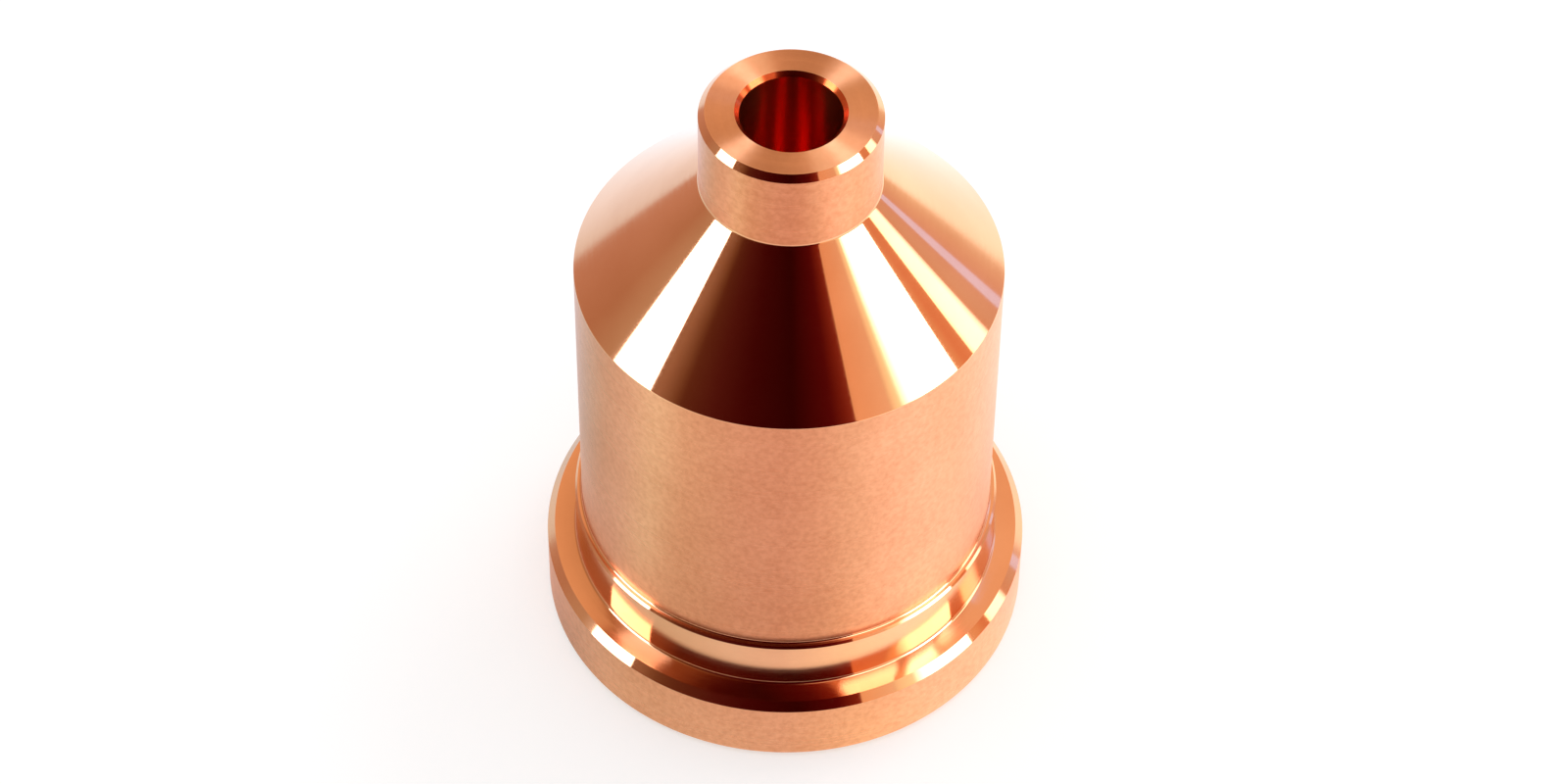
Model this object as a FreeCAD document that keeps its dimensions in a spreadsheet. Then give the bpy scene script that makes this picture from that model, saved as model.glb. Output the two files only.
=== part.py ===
"""Plasma torch nozzle: one piece of copper, turned all over on a lathe.

It stands on its back face, with the nose up. From the outside in, and from the bottom up:
  * a flange with a square ledge, which the torch's retaining cap pulls down
  * a low locating ring, one small step wider than the body
  * the straight body, which passes through the cap
  * a cone, and a short cylindrical nose with a broken rim
  * a seat bore in the back face, for the front of the swirl ring
  * the chamber that surrounds the electrode, closed by a cone and a flat inner face
  * the orifice: a short throat that opens by a taper into the wide, deep exit bore of the nose

Units are millimetres. The axis is +Z and the origin is the centre of the back face.
"""

import FreeCAD, Part

import math
import os

import Sketcher

# Alias, value, what it is. Lengths are in millimetres and angles in degrees.
DRIVING_SIZES = [
    ("chamber_dia", 10.4, "chamber round the electrode"),
    ("body_wall", 1.6, "copper between the chamber and the outside of the body"),
    ("body_length", 10.7, "top of the locating ring to the edge of the cone"),
    ("body_edge_radius", 0.05, "round where the body meets the cone"),
    ("ring_step", 0.22, "how far the locating ring stands out of the body"),
    ("ring_height", 1.85, "ledge to the top of the locating ring"),
    ("ring_edge_break", 0.07, "chamfer on the top edge of the ring"),
    ("ring_corner_radius", 0.08, "tool radius between the ring and the body"),
    ("ledge_width", 0.98, "ring to the outside of the flange, what the cap presses on"),
    ("ledge_corner_radius", 0.1, "tool radius between the ledge and the ring"),
    ("flange_height", 2.7, "back face to the ledge"),
    ("flange_edge_break", 0.25, "chamfer on the upper edge of the flange"),
    ("back_edge_break", 0.2, "chamfer on the lower edge of the flange"),
    ("cone_angle", 45.0, "slope of the outer cone above the horizontal"),
    ("nose_wall", 1.25, "copper between the exit bore and the outside of the nose"),
    ("nose_length", 2.95, "end of the cone to the front face"),
    ("nose_rim_break", 0.2, "chamfer round the front face"),
    ("nose_corner_radius", 0.12, "tool radius between the nose and the cone"),
    ("seat_ledge", 0.9, "width of the step at the bottom of the seat bore"),
    ("seat_depth", 2.6, "depth of the seat bore"),
    ("seat_edge_break", 0.3, "lead-in chamfer of the seat bore"),
    ("chamber_edge_break", 0.2, "chamfer where the chamber opens into the seat"),
    ("chamber_blend_radius", 1.2, "round between the chamber wall and its cone"),
    ("convergence_angle", 45.0, "slope of the chamber's cone above the horizontal"),
    ("inner_face_dia", 4.8, "flat inner face round the throat"),
    ("throat_dia", 2.1, "throat, the narrowest part of the orifice"),
    ("throat_length", 1.6, "straight part of the throat"),
    ("taper_angle", 60.0, "slope of the taper from the throat to the exit bore"),
    ("exit_dia", 3.2, "exit bore, the wide hole in the nose"),
    ("exit_depth", 4.4, "front face to the foot of the exit bore"),
    ("exit_edge_break", 0.14, "chamfer round the mouth of the exit bore"),
]

# How the radii and heights of the outlines follow from the sheet.
CHAMBER_RADIUS = "(sizes.chamber_dia / 2)"
BODY_RADIUS = f"({CHAMBER_RADIUS} + sizes.body_wall)"
RING_RADIUS = f"({BODY_RADIUS} + sizes.ring_step)"
FLANGE_RADIUS = f"({RING_RADIUS} + sizes.ledge_width)"
SEAT_RADIUS = f"({CHAMBER_RADIUS} + sizes.seat_ledge)"
INNER_FACE_RADIUS = "(sizes.inner_face_dia / 2)"
THROAT_RADIUS = "(sizes.throat_dia / 2)"
EXIT_RADIUS = "(sizes.exit_dia / 2)"
NOSE_RADIUS = f"({EXIT_RADIUS} + sizes.nose_wall)"

LEDGE = "sizes.flange_height"
RING_TOP = f"({LEDGE} + sizes.ring_height)"
CONE_FOOT = f"({RING_TOP} + sizes.body_length)"
CONE_RISE = f"({BODY_RADIUS} - {NOSE_RADIUS}) * tan(sizes.cone_angle * 1deg)"
CONE_TOP = f"({CONE_FOOT} + {CONE_RISE})"
FRONT = f"({CONE_TOP} + sizes.nose_length)"
TAPER_END = f"({FRONT} - sizes.exit_depth)"
TAPER_RISE = f"({EXIT_RADIUS} - {THROAT_RADIUS}) * tan(sizes.taper_angle * 1deg)"
TAPER_START = f"({TAPER_END} - {TAPER_RISE})"
INNER_FACE = f"({TAPER_START} - sizes.throat_length)"
CHAMBER_RISE = f"({CHAMBER_RADIUS} - {INNER_FACE_RADIUS}) * tan(sizes.convergence_angle * 1deg)"
CHAMBER_TOP = f"({INNER_FACE} - {CHAMBER_RISE})"

TOUCH = 1e-4  # how near an edge has to lie to the circle that it is looked up by
PARTS_FOLDER = "parts"


def make_sheet(doc):
    """The driving dimensions, one row each: alias, value, note."""
    sheet = doc.addObject("Spreadsheet::Sheet", "sizes")
    for row, (alias, value, note) in enumerate(DRIVING_SIZES, start=1):
        sheet.set(f"A{row}", alias)
        sheet.set(f"B{row}", str(value))
        sheet.set(f"C{row}", note)
        sheet.setAlias(f"B{row}", alias)
    doc.recompute()
    return sheet


def now(thing, expression):
    """What an expression comes to with the sheet's present values."""
    return float(thing.evalExpression(expression))


def origin_plane(body, role):
    return next(f for f in body.Origin.OriginFeatures if f.Role == role)


def half_section(body, name, corners):
    """A sketch on the XZ plane, whose x is the radius and y the height.

    It holds a closed outline of straight lines through the (radius, height) corners.
    """
    sketch = body.newObject("Sketcher::SketchObject", name)
    sketch.AttachmentSupport = [(origin_plane(body, "XZ_Plane"), "")]
    sketch.MapMode = "FlatFace"
    places = [FreeCAD.Vector(now(sketch, r), now(sketch, z), 0) for r, z in corners]
    count = len(places)
    for i in range(count):
        sketch.addGeometry(Part.LineSegment(places[i], places[(i + 1) % count]), False)
    for i in range(count):
        sketch.addConstraint(Sketcher.Constraint("Coincident", i, 2, (i + 1) % count, 1))
    return sketch


def hold_directions(sketch, horizontal, vertical):
    for line in horizontal:
        sketch.addConstraint(Sketcher.Constraint("Horizontal", line))
    for line in vertical:
        sketch.addConstraint(Sketcher.Constraint("Vertical", line))


def bind(sketch, constraint, name, expression):
    """Adds a dimension, names it and ties it to the sheet."""
    index = sketch.addConstraint(constraint)
    sketch.renameConstraint(index, name)
    sketch.setExpression(f"Constraints.{name}", expression)


def radius_of(sketch, line, name, expression):
    """The distance of a line's start from the axis."""
    value = now(sketch, expression)
    bind(sketch, Sketcher.Constraint("DistanceX", -1, 1, line, 1, value), name, expression)


def height_of(sketch, line, name, expression):
    """The distance of a line's start from the back face."""
    value = now(sketch, expression)
    bind(sketch, Sketcher.Constraint("DistanceY", -1, 1, line, 1, value), name, expression)


def length_up(sketch, line, name, expression):
    """The length of a line that runs straight up."""
    value = now(sketch, expression)
    bind(sketch, Sketcher.Constraint("DistanceY", line, 1, line, 2, value), name, expression)


def slope_of(sketch, line, name, expression):
    """The direction of a line, turned from the sketch's x axis."""
    value = math.radians(now(sketch, expression))
    bind(sketch, Sketcher.Constraint("Angle", line, value), name, expression)


def round_corner(sketch, line, name, expression):
    """Rounds the corner at the end of a line, and keeps the sharp corner for the dimensions."""
    value = now(sketch, expression)
    arc = sketch.GeometryCount
    sketch.fillet(line, 2, value, True, True)
    bind(sketch, Sketcher.Constraint("Radius", arc, value), name, expression)


def turn_outside(body):
    """The solid blank: flange, locating ring, body, cone and nose, in one revolved outline."""
    sketch = half_section(
        body,
        "outside_section",
        [
            ("0", "0"),
            (FLANGE_RADIUS, "0"),
            (FLANGE_RADIUS, LEDGE),
            (RING_RADIUS, LEDGE),
            (RING_RADIUS, RING_TOP),
            (BODY_RADIUS, RING_TOP),
            (BODY_RADIUS, CONE_FOOT),
            (NOSE_RADIUS, CONE_TOP),
            (NOSE_RADIUS, FRONT),
            ("0", FRONT),
        ],
    )
    hold_directions(sketch, horizontal=(0, 2, 4, 8), vertical=(1, 3, 5, 7, 9))
    sketch.addConstraint(Sketcher.Constraint("Coincident", 0, 1, -1, 1))
    radius_of(sketch, 1, "flange_radius", FLANGE_RADIUS)
    length_up(sketch, 1, "flange_height", "sizes.flange_height")
    radius_of(sketch, 3, "ring_radius", RING_RADIUS)
    length_up(sketch, 3, "ring_height", "sizes.ring_height")
    radius_of(sketch, 5, "body_radius", BODY_RADIUS)
    length_up(sketch, 5, "body_length", "sizes.body_length")
    slope_of(sketch, 6, "cone_slope", "180deg - sizes.cone_angle * 1deg")
    radius_of(sketch, 7, "nose_radius", NOSE_RADIUS)
    length_up(sketch, 7, "nose_length", "sizes.nose_length")
    round_corner(sketch, 2, "ledge_corner", "sizes.ledge_corner_radius")
    round_corner(sketch, 4, "ring_corner", "sizes.ring_corner_radius")
    round_corner(sketch, 5, "body_edge", "sizes.body_edge_radius")
    round_corner(sketch, 6, "nose_corner", "sizes.nose_corner_radius")

    blank = body.newObject("PartDesign::Revolution", "outside")
    blank.Profile = sketch
    blank.ReferenceAxis = (sketch, ["V_Axis"])
    blank.Angle = 360
    return blank


def turn_away(body, sketch, name):
    """Removes the revolved outline of a sketch from the body."""
    cut = body.newObject("PartDesign::Groove", name)
    cut.Profile = sketch
    cut.ReferenceAxis = (sketch, ["V_Axis"])
    cut.Angle = 360
    return cut


def bore_chamber(body):
    """The seat bore, the chamber and its cone, turned from the back face in one setting."""
    sketch = half_section(
        body,
        "chamber_section",
        [
            ("0", "0"),
            (SEAT_RADIUS, "0"),
            (SEAT_RADIUS, "sizes.seat_depth"),
            (CHAMBER_RADIUS, "sizes.seat_depth"),
            (CHAMBER_RADIUS, CHAMBER_TOP),
            (INNER_FACE_RADIUS, INNER_FACE),
            ("0", INNER_FACE),
        ],
    )
    hold_directions(sketch, horizontal=(0, 2, 5), vertical=(1, 3, 6))
    sketch.addConstraint(Sketcher.Constraint("Coincident", 0, 1, -1, 1))
    radius_of(sketch, 1, "seat_radius", SEAT_RADIUS)
    length_up(sketch, 1, "seat_depth", "sizes.seat_depth")
    radius_of(sketch, 3, "chamber_radius", CHAMBER_RADIUS)
    slope_of(sketch, 4, "convergence", "180deg - sizes.convergence_angle * 1deg")
    radius_of(sketch, 5, "inner_face_radius", INNER_FACE_RADIUS)
    height_of(sketch, 5, "inner_face_height", INNER_FACE)
    round_corner(sketch, 3, "chamber_blend", "sizes.chamber_blend_radius")
    return turn_away(body, sketch, "chamber")


def bore_orifice(body):
    """The throat, the taper and the exit bore, from the chamber's inner face to the front face."""
    sketch = half_section(
        body,
        "orifice_section",
        [
            ("0", INNER_FACE),
            (THROAT_RADIUS, INNER_FACE),
            (THROAT_RADIUS, TAPER_START),
            (EXIT_RADIUS, TAPER_END),
            (EXIT_RADIUS, FRONT),
            ("0", FRONT),
        ],
    )
    hold_directions(sketch, horizontal=(0, 4), vertical=(1, 3, 5))
    sketch.addConstraint(Sketcher.Constraint("PointOnObject", 0, 1, -2))
    radius_of(sketch, 1, "throat_radius", THROAT_RADIUS)
    length_up(sketch, 1, "throat_length", "sizes.throat_length")
    slope_of(sketch, 2, "taper_slope", "sizes.taper_angle * 1deg")
    radius_of(sketch, 3, "exit_radius", EXIT_RADIUS)
    length_up(sketch, 3, "exit_depth", "sizes.exit_depth")
    height_of(sketch, 4, "front_height", FRONT)
    return turn_away(body, sketch, "orifice")


def circle_edge(shape, radius, height):
    """The name of the full-circle edge with that radius, round the axis at that height."""
    for number, edge in enumerate(shape.Edges, start=1):
        curve = edge.Curve
        if not isinstance(curve, Part.Circle):
            continue
        near_radius = abs(curve.Radius - radius) < TOUCH
        near_height = abs(curve.Center.z - height) < TOUCH
        if near_radius and near_height:
            return f"Edge{number}"
    raise RuntimeError(f"no circular edge of radius {radius} at height {height}")


def break_edge(body, name, radius, height):
    """Chamfers the edge on one circle, by the size in the sheet with _break after the name."""
    body.Document.recompute()
    base = body.Tip
    edge = circle_edge(base.Shape, now(body, radius), now(body, height))
    chamfer = body.newObject("PartDesign::Chamfer", name)
    chamfer.Base = (base, [edge])
    chamfer.setExpression("Size", f"sizes.{name}_break")
    body.Tip = chamfer


def make_nozzle(doc):
    body = doc.addObject("PartDesign::Body", "nozzle")
    body.Label = "nozzle"
    turn_outside(body)
    bore_chamber(body)
    bore_orifice(body)
    break_edge(body, "back_edge", FLANGE_RADIUS, "0")
    break_edge(body, "flange_edge", FLANGE_RADIUS, LEDGE)
    break_edge(body, "ring_edge", RING_RADIUS, RING_TOP)
    break_edge(body, "nose_rim", NOSE_RADIUS, FRONT)
    break_edge(body, "seat_edge", SEAT_RADIUS, "0")
    break_edge(body, "chamber_edge", CHAMBER_RADIUS, "sizes.seat_depth")
    break_edge(body, "exit_edge", EXIT_RADIUS, FRONT)
    return body


def bodies_of(doc):
    return [thing for thing in doc.Objects if thing.TypeId == "PartDesign::Body"]


def check_document(doc):
    """Stops if a feature failed, if a sketch isn't fully held, or if a body isn't one valid solid."""
    for thing in doc.Objects:
        if "Invalid" in thing.State or "Error" in thing.State:
            raise RuntimeError(f"{thing.Name} failed: {thing.State}")
        if thing.TypeId == "Sketcher::SketchObject" and not thing.FullyConstrained:
            raise RuntimeError(f"{thing.Name} isn't fully held")
    for body in bodies_of(doc):
        shape = body.Shape
        if shape.isNull() or not shape.isValid() or len(shape.Solids) != 1:
            raise RuntimeError(f"{body.Label} isn't one valid solid")


def main():
    doc = FreeCAD.newDocument("plasma_torch_nozzle")
    make_sheet(doc)
    make_nozzle(doc)
    doc.recompute()
    check_document(doc)
    os.makedirs(PARTS_FOLDER, exist_ok=True)
    for body in bodies_of(doc):
        body.Shape.exportStep(os.path.join(PARTS_FOLDER, f"{body.Label}.step"))
        print(f"{body.Label}: {body.Shape.Volume:.2f} mm3")


main()
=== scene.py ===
"""A turned copper nozzle for a plasma torch, seen from above in a small light tent."""

import math

import bmesh
import bpy
from mathutils import Euler, Matrix, Vector


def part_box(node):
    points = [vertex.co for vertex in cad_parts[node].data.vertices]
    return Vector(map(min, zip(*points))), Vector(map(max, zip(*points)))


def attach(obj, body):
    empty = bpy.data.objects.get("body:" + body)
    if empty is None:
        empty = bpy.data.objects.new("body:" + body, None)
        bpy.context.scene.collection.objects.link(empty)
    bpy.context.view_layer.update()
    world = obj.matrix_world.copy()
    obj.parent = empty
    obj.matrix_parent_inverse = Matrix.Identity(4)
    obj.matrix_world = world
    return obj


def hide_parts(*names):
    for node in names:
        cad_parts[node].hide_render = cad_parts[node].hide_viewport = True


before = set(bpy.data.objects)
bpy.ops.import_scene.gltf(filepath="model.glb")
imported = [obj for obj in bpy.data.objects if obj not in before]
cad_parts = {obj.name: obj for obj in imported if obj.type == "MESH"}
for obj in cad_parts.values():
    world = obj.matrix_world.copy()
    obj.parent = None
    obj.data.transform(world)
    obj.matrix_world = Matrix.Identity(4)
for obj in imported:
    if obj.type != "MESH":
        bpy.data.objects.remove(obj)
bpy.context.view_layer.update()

MM = 0.001
ROUND_STEPS = 320

# Heights above the back face and radii, in millimetres
BASE, TOP = (corner[2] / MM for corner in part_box("nozzle"))
FLANGE_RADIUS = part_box("nozzle")[1][0] / MM
LEDGE_HEIGHT = 2.7
LEDGE_FALL = 0.05
RING_RADIUS = 7.02
RING_HEIGHT = 4.55
BODY_RADIUS = 6.8
CONE_FOOT = 15.25
CONE_TOP = 19.2
NOSE_RADIUS = 2.85
EXIT_RADIUS = 1.6
EXIT_FLOOR = 17.75
THROAT_RADIUS = 1.05
THROAT_TOP = 16.797
INNER_FACE = 15.197
INNER_FACE_RADIUS = 2.4
CHAMBER_SHOULDER = 12.397
CHAMBER_RADIUS = 5.2
SEAT_TOP = 2.6
SEAT_RADIUS = 6.1

# Broken edges and tool radii, in millimetres
BACK_EDGE = 0.2
SEAT_EDGE = 0.3
CHAMBER_EDGE = 0.2
FLANGE_EDGE = 0.25
NOSE_RIM = 0.2
EXIT_MOUTH = 0.14
LEDGE_CORNER = 0.1
RING_EDGE = 0.07
STEP_CORNER = 0.08
BODY_EDGE = 0.05
NOSE_CORNER = 0.12
CHAMBER_BLEND = 1.2

# Camera: lens and sensor in millimetres, its place in millimetres, and its turns in degrees
LENS, SENSOR_WIDTH = 100.78, 36.0
NEAREST_SEEN = 5.0
CAMERA_PLACE = (0.0, -93.294, 117.455)
CAMERA_PITCH, CAMERA_YAW, CAMERA_ROLL = 49.274, -0.063, 0.828

# Patterns on the metal: repeats for each metre, and how deep the cut shows
CLOUDS_PER_METRE = 260.0
SPECKLES_PER_METRE = 5200.0
CUT_STRENGTH = 0.5

# Clean copper and its tarnish, where it is cut bright, turned satin, and bored. The bored copper is darker
# and redder: painted shade inside the bore, with its tarnish varying at random on top
COPPER, TARNISH = (0.93, 0.45, 0.26), (0.78, 0.33, 0.17)
SATIN_COPPER, SATIN_TARNISH = (0.90, 0.38, 0.21), (0.74, 0.28, 0.14)
BORED_COPPER_IN_PAINTED_SHADE, BORED_TARNISH_IN_PAINTED_SHADE = (0.74, 0.14, 0.04), (0.5, 0.06, 0.02)

# Studio, in metres unless it says otherwise
TENT_RADIUS = 0.3
LENS_CARD_AWAY = 0.26
LIGHTS_AWAY = 0.22
CARDS_CENTRE_MM = 10.0
FLOOR_SIZE = 3.0
FLOOR_BELOW_MM = 0.02
FLOOR_SHADE = 0.55
FLOOR_WHITE = 0.46
# Radii where the painted shadow and painted light close to the foot give way to the painted light further
# out, and where the open floor's painted glow rises
FOOT_SHADE_MM = (9.5, 12.5)
OPEN_FLOOR_MM = (15.0, 20.0)
OPEN_FLOOR_GLOW = 0.16
KEY_LIGHT_WIDTH = 0.25
KEY_LIGHT_WATTS = 0.35
KEY_LIGHT_AWAY = 0.45


# ---------------------------------------------------------------- camera

def set_camera():
    """The camera looks down on the nozzle from in front."""
    data = bpy.data.cameras.new("studio_camera")
    data.sensor_width = SENSOR_WIDTH
    data.lens = LENS
    data.clip_start = NEAREST_SEEN * MM
    camera = bpy.data.objects.new("studio_camera", data)
    bpy.context.scene.collection.objects.link(camera)
    pitch, yaw, roll = (math.radians(turn) for turn in (CAMERA_PITCH, CAMERA_YAW, CAMERA_ROLL))
    aim = Euler((math.pi / 2 - pitch, 0.0, -yaw)).to_matrix().to_4x4()
    place = Matrix.Translation(MM * Vector(CAMERA_PLACE))
    camera.matrix_world = place @ aim @ Matrix.Rotation(roll, 4, "Z")
    bpy.context.scene.camera = camera


# ---------------------------------------------------------------- materials

def new_material(name):
    material = bpy.data.materials.new(name)
    material.use_nodes = True
    nodes = material.node_tree.nodes
    nodes.clear()
    return material, nodes, material.node_tree.links


def radius_and_height(nodes, links):
    """Object coordinates, and (distance from the lathe axis, height), whose patterns run round the part."""
    place = nodes.new("ShaderNodeTexCoord")
    split = nodes.new("ShaderNodeSeparateXYZ")
    links.new(place.outputs["Object"], split.inputs[0])
    flat = nodes.new("ShaderNodeCombineXYZ")
    links.new(split.outputs["X"], flat.inputs["X"])
    links.new(split.outputs["Y"], flat.inputs["Y"])
    radius = nodes.new("ShaderNodeVectorMath")
    radius.operation = "LENGTH"
    links.new(flat.outputs[0], radius.inputs[0])
    both = nodes.new("ShaderNodeCombineXYZ")
    links.new(radius.outputs["Value"], both.inputs["X"])
    links.new(split.outputs["Z"], both.inputs["Z"])
    return place.outputs["Object"], both.outputs[0]


def noise(nodes, links, vector, per_metre, detail=2.0, roughness=0.5):
    texture = nodes.new("ShaderNodeTexNoise")
    texture.inputs["Scale"].default_value = per_metre
    texture.inputs["Detail"].default_value = detail
    texture.inputs["Roughness"].default_value = roughness
    links.new(vector, texture.inputs["Vector"])
    return texture.outputs["Fac"]


def spread(nodes, links, value, low, high, to_low, to_high):
    scale = nodes.new("ShaderNodeMapRange")
    scale.inputs["From Min"].default_value = low
    scale.inputs["From Max"].default_value = high
    scale.inputs["To Min"].default_value = to_low
    scale.inputs["To Max"].default_value = to_high
    links.new(value, scale.inputs["Value"])
    return scale.outputs["Result"]


def turned_copper(name, colour, tarnish, roughness, grooves, feed, grain, anisotropy):
    """Copper as a lathe leaves it: fine grooves all round it, one for each turn of the feed.

    Grooves and feed are the depth and the spacing of the tool's marks, in millimetres."""
    material, nodes, links = new_material(name)
    place, lathe = radius_and_height(nodes, links)
    shader = nodes.new("ShaderNodeBsdfPrincipled")
    shader.inputs["Metallic"].default_value = 1.0
    shader.inputs["Anisotropic"].default_value = anisotropy
    shader.inputs["Anisotropic Rotation"].default_value = 0.25
    round_part = nodes.new("ShaderNodeTangent")
    round_part.direction_type = "RADIAL"
    round_part.axis = "Z"
    links.new(round_part.outputs["Tangent"], shader.inputs["Tangent"])

    cloud = noise(nodes, links, place, CLOUDS_PER_METRE, detail=4.0)
    rings = noise(nodes, links, lathe, 1.0 / (feed * MM), detail=3.0, roughness=0.7)
    speckle = noise(nodes, links, place, SPECKLES_PER_METRE, detail=2.0, roughness=0.6)

    tint = nodes.new("ShaderNodeMix")
    tint.data_type = "RGBA"
    tint.inputs["A"].default_value = (*colour, 1.0)
    tint.inputs["B"].default_value = (*tarnish, 1.0)
    both = nodes.new("ShaderNodeMath")
    both.operation = "ADD"
    links.new(spread(nodes, links, cloud, 0.35, 0.75, 0.0, 0.6), both.inputs[0])
    links.new(spread(nodes, links, speckle, 0.35, 0.75, 0.0, grain), both.inputs[1])
    links.new(both.outputs[0], tint.inputs["Factor"])
    links.new(tint.outputs["Result"], shader.inputs["Base Color"])

    links.new(spread(nodes, links, rings, 0.3, 0.7, roughness * 0.8, roughness * 1.2),
              shader.inputs["Roughness"])
    cut = nodes.new("ShaderNodeBump")
    cut.inputs["Distance"].default_value = grooves * MM
    cut.inputs["Strength"].default_value = CUT_STRENGTH
    links.new(rings, cut.inputs["Height"])
    links.new(cut.outputs["Normal"], shader.inputs["Normal"])
    output = nodes.new("ShaderNodeOutputMaterial")
    links.new(shader.outputs["BSDF"], output.inputs["Surface"])
    return material


# ---------------------------------------------------------------- the nozzle

def half_outline():
    """The nozzle's half section, as (radius, height), round from the seat's edge."""
    return [
        (SEAT_RADIUS, BASE), (FLANGE_RADIUS, BASE), (FLANGE_RADIUS, LEDGE_HEIGHT - LEDGE_FALL),
        (RING_RADIUS, LEDGE_HEIGHT), (RING_RADIUS, RING_HEIGHT), (BODY_RADIUS, RING_HEIGHT),
        (BODY_RADIUS, CONE_FOOT), (NOSE_RADIUS, CONE_TOP), (NOSE_RADIUS, TOP),
        (EXIT_RADIUS, TOP), (EXIT_RADIUS, EXIT_FLOOR), (THROAT_RADIUS, THROAT_TOP),
        (THROAT_RADIUS, INNER_FACE), (INNER_FACE_RADIUS, INNER_FACE),
        (CHAMBER_RADIUS, CHAMBER_SHOULDER), (CHAMBER_RADIUS, SEAT_TOP), (SEAT_RADIUS, SEAT_TOP),
    ]


def turn(outline):
    """One closed shell, spun from its half section."""
    mesh = bmesh.new()
    corners = [mesh.verts.new((radius * MM, 0.0, height * MM)) for radius, height in outline]
    sides = [mesh.edges.new((a, b)) for a, b in zip(corners, corners[1:] + corners[:1])]
    bmesh.ops.spin(mesh, geom=corners + sides, cent=(0, 0, 0), axis=(0, 0, 1), dvec=(0, 0, 0),
                   angle=2 * math.pi, steps=ROUND_STEPS, use_merge=True)
    bmesh.ops.remove_doubles(mesh, verts=mesh.verts[:], dist=1e-7)
    bmesh.ops.recalc_face_normals(mesh, faces=mesh.faces[:])
    return mesh


def ring_of_edges(mesh, radius, height):
    """The edges of the circle of that radius at that height."""
    close = 1e-6
    def on_it(vertex):
        away = math.hypot(vertex.co.x, vertex.co.y)
        return abs(away - radius * MM) < close and abs(vertex.co.z - height * MM) < close
    return [edge for edge in mesh.edges if all(on_it(v) for v in edge.verts)]


def work_edge(mesh, radius, height, size, segments):
    """Breaks or rounds one circular edge. One segment is a chamfer."""
    bmesh.ops.bevel(mesh, geom=ring_of_edges(mesh, radius, height), offset=size * MM,
                    offset_type="OFFSET", segments=segments, profile=0.5, affect="EDGES",
                    clamp_overlap=True, material=-1)


def leg(radius, bend_degrees):
    """How far an arc of this radius reaches along each side of a corner that bends by this angle."""
    return radius * math.tan(math.radians(bend_degrees / 2))


def worked_edges():
    """Every broken edge and tool radius: radius, height, size along the sides, segments."""
    return [
        (SEAT_RADIUS, BASE, SEAT_EDGE, 1),
        (FLANGE_RADIUS, BASE, BACK_EDGE, 1),
        (FLANGE_RADIUS, LEDGE_HEIGHT - LEDGE_FALL, FLANGE_EDGE, 1),
        (RING_RADIUS, LEDGE_HEIGHT, LEDGE_CORNER, 5),
        (RING_RADIUS, RING_HEIGHT, RING_EDGE, 1),
        (BODY_RADIUS, RING_HEIGHT, STEP_CORNER, 5),
        (BODY_RADIUS, CONE_FOOT, leg(BODY_EDGE, 45), 3),
        (NOSE_RADIUS, CONE_TOP, leg(NOSE_CORNER, 45), 4),
        (NOSE_RADIUS, TOP, NOSE_RIM, 1),
        (EXIT_RADIUS, TOP, EXIT_MOUTH, 1),
        (CHAMBER_RADIUS, SEAT_TOP, CHAMBER_EDGE, 1),
        (CHAMBER_RADIUS, CHAMBER_SHOULDER, leg(CHAMBER_BLEND, 45), 8),
    ]


BRIGHT, SATIN, FACED, BORE_IN_PAINTED_SHADE, RING = range(5)


def copper_finishes():
    """The five finishes, in the order of the names above."""
    return [
        turned_copper("bright_cut_copper", COPPER, TARNISH, roughness=0.08, grooves=0.001, feed=0.08,
                      grain=0.05, anisotropy=1.0),
        turned_copper("satin_turned_copper", SATIN_COPPER, SATIN_TARNISH, roughness=0.30,
                      grooves=0.004, feed=0.1, grain=0.75, anisotropy=0.8),
        turned_copper("faced_copper", COPPER, TARNISH, roughness=0.36, grooves=0.004, feed=0.09,
                      grain=0.2, anisotropy=1.0),
        # The bored finish is darker, redder copper: painted shade inside the bore
        turned_copper("bored_copper_painted_shade", BORED_COPPER_IN_PAINTED_SHADE, BORED_TARNISH_IN_PAINTED_SHADE, roughness=0.2, grooves=0.004,
                      feed=0.1, grain=0.3, anisotropy=0.8),
        turned_copper("ring_cut_copper", COPPER, TARNISH, roughness=0.09, grooves=0.001, feed=0.08,
                      grain=0.1, anisotropy=1.0),
    ]


def finish_of(face):
    """Which of the finishes this part of the surface has."""
    middle = face.calc_center_median() / MM
    away, height = math.hypot(middle.x, middle.y), middle.z
    outward = face.normal.x * middle.x + face.normal.y * middle.y
    level = abs(face.normal.z)
    # Faces inside the bore and the chamber take the bored copper, whose darker, redder colour is painted
    # shade
    if outward < -0.1 or (level > 0.99 and face.normal.z < 0 and height > BASE + 0.1):
        return BORE_IN_PAINTED_SHADE
    if away < EXIT_RADIUS - 0.01:
        return BORE_IN_PAINTED_SHADE
    if level > 0.95:
        return BRIGHT if SEAT_TOP < height < CONE_FOOT else FACED
    if 0.1 < level:
        return BRIGHT
    if LEDGE_HEIGHT < height < RING_HEIGHT:
        return RING
    return SATIN


def make_nozzle(finishes):
    mesh = turn(half_outline())
    for radius, height, size, segments in worked_edges():
        work_edge(mesh, radius, height, size, segments)
    bmesh.ops.recalc_face_normals(mesh, faces=mesh.faces[:])
    for face in mesh.faces:
        face.smooth = True
        face.material_index = finish_of(face)
    data = bpy.data.meshes.new("turned_nozzle")
    mesh.to_mesh(data)
    mesh.free()
    data.set_sharp_from_angle(angle=math.radians(30))
    for material in finishes:
        data.materials.append(material)
    piece = bpy.data.objects.new("turned_nozzle", data)
    bpy.context.scene.collection.objects.link(piece)
    weigh_normals(piece)
    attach(piece, "root")
    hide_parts("nozzle")
    return piece


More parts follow.
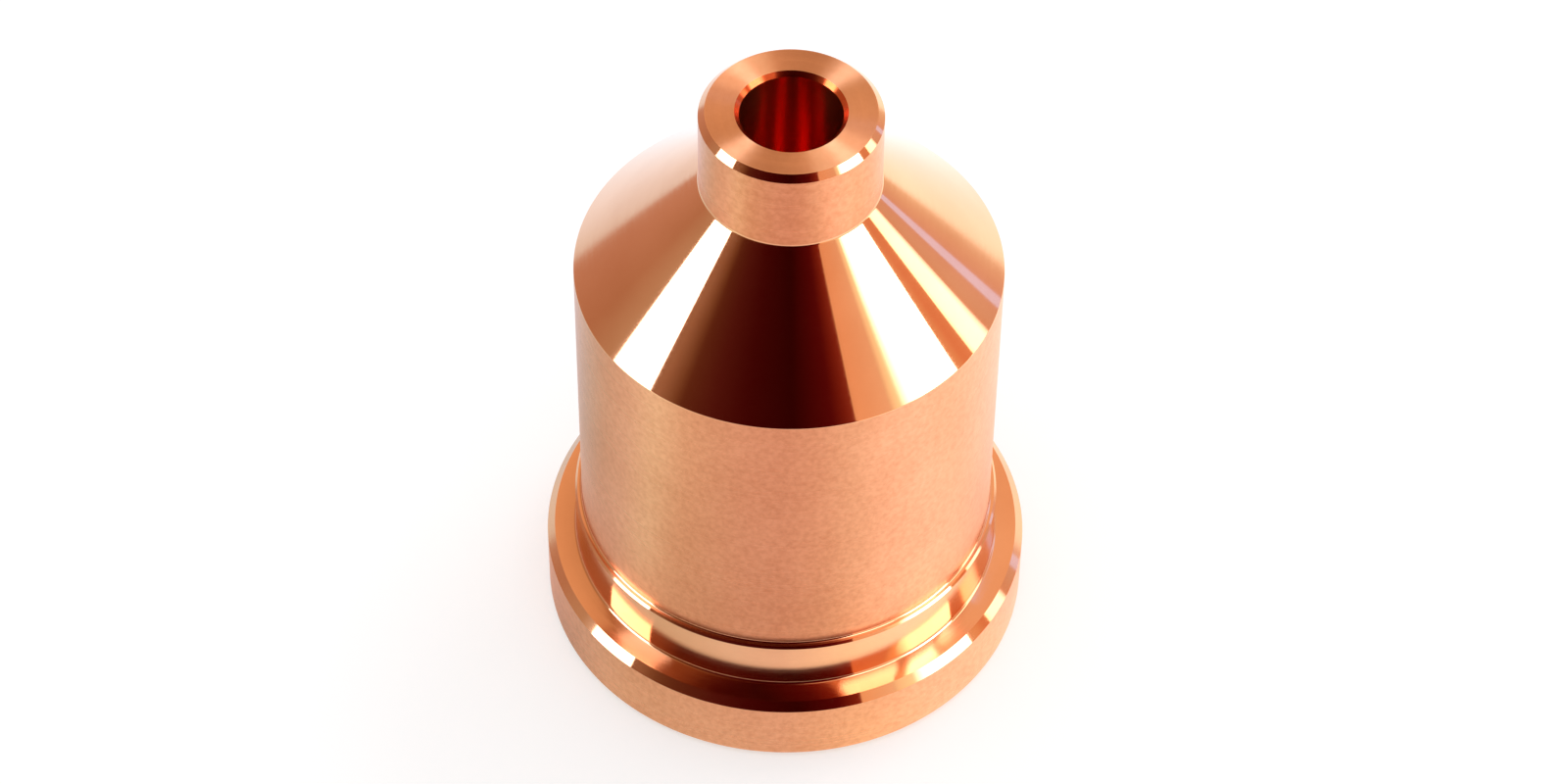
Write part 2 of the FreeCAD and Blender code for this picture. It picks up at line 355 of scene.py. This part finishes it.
def weigh_normals(piece):
    """Large faces keep their own normals, so that only the narrow edges shade round."""
    modifier = piece.modifiers.new("weighted", "WEIGHTED_NORMAL")
    modifier.mode = "FACE_AREA"
    modifier.keep_sharp = True
    bpy.context.view_layer.update()
    finished = piece.evaluated_get(bpy.context.evaluated_depsgraph_get())
    data = bpy.data.meshes.new_from_object(finished)
    piece.modifiers.clear()
    piece.data = data


# ---------------------------------------------------------------- studio

def direction(azimuth, elevation):
    """A way out from the nozzle: azimuth in degrees right of the front, elevation above the floor."""
    a, e = math.radians(azimuth), math.radians(elevation)
    return Vector((math.sin(a) * math.cos(e), -math.cos(a) * math.cos(e), math.sin(e)))


def shade_ramp(nodes, shades):
    """A ramp through (where, colour) steps."""
    ramp = nodes.new("ShaderNodeValToRGB")
    stops = ramp.color_ramp.elements
    stops[0].position, stops[0].color = shades[0][0], (*shades[0][1], 1.0)
    stops[1].position, stops[1].color = shades[-1][0], (*shades[-1][1], 1.0)
    for where, colour in shades[1:-1]:
        stops.new(where).color = (*colour, 1.0)
    return ramp


def only_in_reflections(piece):
    """Cards and lights stand out of the camera's view and show only on the metal."""
    piece.visible_camera = False
    piece.visible_diffuse = False
    piece.visible_shadow = False
    piece.visible_transmission = False


def stage_object(name, mesh, material):
    data = bpy.data.meshes.new(name)
    mesh.to_mesh(data)
    mesh.free()
    data.materials.append(material)
    piece = bpy.data.objects.new(name, data)
    bpy.context.scene.collection.objects.link(piece)
    return piece


def card(name, distance, corners, shades, strength=1.0):
    """A flat card or soft light, given by the directions of its corners, round from the lower left.

    Shades are (how far across, colour) steps."""
    mesh = bmesh.new()
    middle = Vector((0.0, 0.0, CARDS_CENTRE_MM * MM))
    face = mesh.faces.new([mesh.verts.new(middle + distance * direction(*c)) for c in corners])
    across = mesh.loops.layers.uv.new("across")
    for loop, spot in zip(face.loops, ((0, 0), (1, 0), (1, 1), (0, 1))):
        loop[across].uv = spot
    material, nodes, links = new_material(name)
    place = nodes.new("ShaderNodeUVMap")
    split = nodes.new("ShaderNodeSeparateXYZ")
    links.new(place.outputs[0], split.inputs[0])
    ramp = shade_ramp(nodes, shades if len(shades) > 1 else [shades[0], (1.0, shades[0][1])])
    links.new(split.outputs["X"], ramp.inputs["Fac"])
    glow = nodes.new("ShaderNodeEmission")
    glow.inputs["Strength"].default_value = strength
    links.new(ramp.outputs["Color"], glow.inputs["Color"])
    output = nodes.new("ShaderNodeOutputMaterial")
    links.new(glow.outputs[0], output.inputs["Surface"])
    only_in_reflections(stage_object(name, mesh, material))


def azimuth_of(nodes, links):
    """Object coordinates, and how far round from the back by the left, from 0 to 1."""
    place = nodes.new("ShaderNodeTexCoord")
    turned = nodes.new("ShaderNodeMapping")
    turned.inputs["Rotation"].default_value = (0.0, 0.0, math.pi / 2)
    links.new(place.outputs["Object"], turned.inputs["Vector"])
    turning = nodes.new("ShaderNodeTexGradient")
    turning.gradient_type = "RADIAL"
    links.new(turned.outputs["Vector"], turning.inputs["Vector"])
    return place.outputs["Object"], turning.outputs["Fac"]


def tent():
    """The cloth of the light tent, a dome whose shade changes round it and upwards."""
    mesh = bmesh.new()
    bmesh.ops.create_uvsphere(mesh, u_segments=64, v_segments=32, radius=TENT_RADIUS)
    material, nodes, links = new_material("tent_cloth")
    place, turning = azimuth_of(nodes, links)
    low = shade_ramp(nodes, TENT_LOW)
    high = shade_ramp(nodes, TENT_HIGH)
    links.new(turning, low.inputs["Fac"])
    links.new(turning, high.inputs["Fac"])
    split = nodes.new("ShaderNodeSeparateXYZ")
    links.new(place, split.inputs[0])
    rise = spread(nodes, links, split.outputs["Z"], 0.4 * TENT_RADIUS, 0.7 * TENT_RADIUS, 0.0, 1.0)
    both = nodes.new("ShaderNodeMix")
    both.data_type = "RGBA"
    links.new(rise, both.inputs["Factor"])
    links.new(low.outputs["Color"], both.inputs["A"])
    links.new(high.outputs["Color"], both.inputs["B"])
    glow = nodes.new("ShaderNodeEmission")
    links.new(both.outputs["Result"], glow.inputs["Color"])
    output = nodes.new("ShaderNodeOutputMaterial")
    links.new(glow.outputs[0], output.inputs["Surface"])
    only_in_reflections(stage_object("tent", mesh, material))


def at(azimuth):
    """Where an azimuth falls on a ramp that runs round from the back by the left to the back again."""
    return 0.5 + azimuth / 360.0


TENT_LOW = [
    (at(-180), (1.00, 0.80, 0.60)),
    (at(-135), (0.62, 0.42, 0.34)),
    (at(-105), (0.50, 0.33, 0.23)),
    (at(-90), (0.55, 0.46, 0.34)),
    (at(-84), (0.75, 0.75, 0.70)),
    (at(34), (1.08, 0.80, 0.50)),
    (at(52), (1.10, 1.10, 0.90)),
    (at(86), (0.90, 0.55, 0.30)),
    (at(90), (0.83, 0.38, 0.20)),
    (at(97), (0.85, 0.45, 0.25)),
    (at(110), (0.80, 0.62, 0.50)),
    (at(120), (0.82, 0.58, 0.50)),
    (at(135), (0.92, 0.78, 0.55)),
    (at(180), (1.00, 0.80, 0.60)),
]
TENT_HIGH = [
    (at(-180), (1.00, 0.72, 0.46)),
    (at(-130), (0.42, 0.26, 0.12)),
    (at(-100), (0.45, 0.36, 0.26)),
    (at(38), (0.90, 0.55, 0.34)),
    (at(110), (0.90, 0.75, 0.60)),
    (at(180), (1.00, 0.72, 0.46)),
]
# Painted light and shade on the floor, seen only in the metal's reflections, round from the back by the
# left: further out (first), and close to the foot (second), with a painted shadow at the front left and
# painted light on the right
FLOOR_FAR_PAINTED_LIGHT_AND_SHADE = [
    (at(-180), (0.40, 0.60, 0.70)),
    (at(-140), (0.18, 0.46, 0.71)),
    (at(-109), (0.01, 0.23, 0.24)),
    (at(-93), (0.02, 0.12, 0.05)),
    (at(-78), (0.12, 0.25, 0.22)),
    (at(-62), (0.27, 0.56, 0.42)),
    (at(-46), (0.20, 0.26, 0.15)),
    (at(-16), (0.19, 0.15, 0.13)),
    (at(0), (0.16, 0.09, 0.07)),
    (at(16), (0.26, 0.22, 0.18)),
    (at(31), (0.38, 0.45, 0.38)),
    (at(47), (0.60, 0.70, 0.68)),
    (at(62), (0.70, 0.85, 0.85)),
    (at(80), (0.58, 0.73, 0.62)),
    (at(140), (0.58, 0.80, 0.75)),
    (at(180), (0.40, 0.60, 0.70)),
]
FLOOR_NEAR_PAINTED_SHADOW_AND_LIGHT = [
    (at(-180), (0.30, 0.30, 0.30)),
    (at(-96), (0.33, 0.30, 0.28)),
    (at(-66), (0.12, 0.22, 0.20)),
    (at(-44), (0.28, 0.42, 0.33)),
    (at(0), (0.50, 0.60, 0.56)),
    (at(22), (0.75, 0.92, 0.70)),
    (at(44), (0.98, 1.10, 0.98)),
    (at(66), (1.05, 1.00, 0.80)),
    (at(80), (1.05, 0.90, 0.78)),
    (at(100), (0.85, 0.50, 0.35)),
    (at(180), (0.30, 0.30, 0.30)),
]


def light_tent():
    """The tent, the dark opening for the lens in its front, and the lights and strips beside it."""
    tent()
    card("lens_opening", LENS_CARD_AWAY, [(-58, -2), (31, -2), (48, 80), (-138, 76)],
         [(0.10, (0.30, 0.17, 0.09)), (0.30, (0.20, 0.10, 0.05)), (0.40, (0.12, 0.04, 0.02)),
          (0.52, (0.08, 0.012, 0.010)), (0.62, (0.05, 0.002, 0.002)), (0.76, (0.028, 0.0005, 0.0005)),
          (0.90, (0.09, 0.003, 0.004)), (1.0, (0.26, 0.03, 0.012))])
    card("left_soft_light", LIGHTS_AWAY, [(-82, 12), (-54, 18), (-73, 52), (-108, 50)],
         [(0.0, (0.8, 0.9, 1.0))], 8.0)
    card("left_soft_light_top", LIGHTS_AWAY, [(-114, 50), (-82, 52), (-94, 68), (-130, 64)],
         [(0.0, (0.7, 0.9, 1.0))], 2.4)
    card("right_soft_light", LIGHTS_AWAY, [(44, 20), (81, 14), (112, 60), (80, 62)],
         [(0.0, (0.12, 0.11, 0.08)), (0.3, (0.17, 0.18, 0.13)), (0.5, (0.8, 0.9, 1.0)),
          (1.0, (0.8, 0.9, 1.0))], 8.0)
    card("high_right_light", LIGHTS_AWAY, [(39, 52), (75, 52), (89, 66), (42, 68)],
         [(0.0, (0.7, 0.95, 1.0))], 5.0)
    card("right_strip_light", LIGHTS_AWAY, [(88, -2), (100, -2), (136, 60), (117, 60)],
         [(0.0, (0.7, 0.8, 0.6)), (0.2, (1.0, 1.0, 0.9)), (0.8, (1.0, 1.0, 1.0)),
          (1.0, (0.5, 0.5, 0.5))], 3.2)
    card("far_right_strip", LIGHTS_AWAY, [(111, -2), (116, -2), (155, 55), (147, 55)],
         [(0.0, (0.5, 0.6, 1.0))], 1.8)


def pale_floor_with_painted_light():
    """White card under the nozzle.

    In the metal it shows painted light and shade, close to the foot and further out: a painted shadow at
    the front left of the foot, and painted light that is brighter on the right, towards the larger light."""
    mesh = bmesh.new()
    bmesh.ops.create_grid(mesh, x_segments=1, y_segments=1, size=FLOOR_SIZE)
    material, nodes, links = new_material("pale_card_with_painted_light")
    matt = nodes.new("ShaderNodeBsdfDiffuse")
    matt.inputs["Color"].default_value = (FLOOR_SHADE, FLOOR_SHADE, FLOOR_SHADE, 1.0)
    place, turning = azimuth_of(nodes, links)
    painted_light_further, painted_shadow_close = shade_ramp(nodes, FLOOR_FAR_PAINTED_LIGHT_AND_SHADE), shade_ramp(nodes, FLOOR_NEAR_PAINTED_SHADOW_AND_LIGHT)
    links.new(turning, painted_light_further.inputs["Fac"])
    links.new(turning, painted_shadow_close.inputs["Fac"])
    away = nodes.new("ShaderNodeVectorMath")
    away.operation = "LENGTH"
    links.new(place, away.inputs[0])
    both = nodes.new("ShaderNodeMix")
    both.data_type = "RGBA"
    start, end = (MM * radius for radius in FOOT_SHADE_MM)
    links.new(spread(nodes, links, away.outputs["Value"], start, end, 0.0, 1.0), both.inputs["Factor"])
    links.new(painted_shadow_close.outputs["Color"], both.inputs["A"])
    links.new(painted_light_further.outputs["Color"], both.inputs["B"])
    open_floor = nodes.new("ShaderNodeMix")
    open_floor.data_type = "RGBA"
    open_floor.blend_type = "ADD"
    open_floor.inputs["Factor"].default_value = 1.0
    links.new(both.outputs["Result"], open_floor.inputs["A"])
    start, end = (MM * radius for radius in OPEN_FLOOR_MM)
    links.new(spread(nodes, links, away.outputs["Value"], start, end, 0.0, OPEN_FLOOR_GLOW),
              open_floor.inputs["B"])
    # Glossy rays see the painted light and shadow, camera rays see even white paper, and all rays see the
    # real diffuse shading with its shadow
    light = nodes.new("ShaderNodeLightPath")
    glow = nodes.new("ShaderNodeEmission")
    links.new(open_floor.outputs["Result"], glow.inputs["Color"])
    links.new(light.outputs["Is Glossy Ray"], glow.inputs["Strength"])
    paper = nodes.new("ShaderNodeEmission")
    paper.inputs["Strength"].default_value = FLOOR_WHITE
    seen = nodes.new("ShaderNodeMixShader")
    links.new(light.outputs["Is Camera Ray"], seen.inputs["Fac"])
    links.new(glow.outputs[0], seen.inputs[1])
    links.new(paper.outputs[0], seen.inputs[2])
    total = nodes.new("ShaderNodeAddShader")
    links.new(matt.outputs[0], total.inputs[0])
    links.new(seen.outputs[0], total.inputs[1])
    output = nodes.new("ShaderNodeOutputMaterial")
    links.new(total.outputs[0], output.inputs["Surface"])
    floor = stage_object("floor", mesh, material)
    floor.location.z = -FLOOR_BELOW_MM * MM


def white_surroundings():
    world = bpy.data.worlds.new("white_surroundings")
    world.use_nodes = True
    bpy.context.scene.world = world
    background = world.node_tree.nodes["Background"]
    background.inputs["Color"].default_value = (1.0, 1.0, 1.0, 1.0)
    background.inputs["Strength"].default_value = 1.0


def key_light():
    """A soft light from the right and behind, which gives the faint shadow at the left of the foot."""
    data = bpy.data.lights.new("key_light", "AREA")
    data.shape = "DISK"
    data.size = KEY_LIGHT_WIDTH
    data.energy = KEY_LIGHT_WATTS
    lamp = bpy.data.objects.new("key_light", data)
    bpy.context.scene.collection.objects.link(lamp)
    away = direction(130, 50)
    lamp.location = away * KEY_LIGHT_AWAY
    lamp.rotation_euler = away.to_track_quat("Z", "Y").to_euler()
    lamp.visible_camera = False
    lamp.visible_glossy = False


def main():
    scene = bpy.context.scene
    scene.view_settings.view_transform = "Standard"
    set_camera()
    white_surroundings()
    pale_floor_with_painted_light()
    light_tent()
    key_light()
    make_nozzle(copper_finishes())


main()
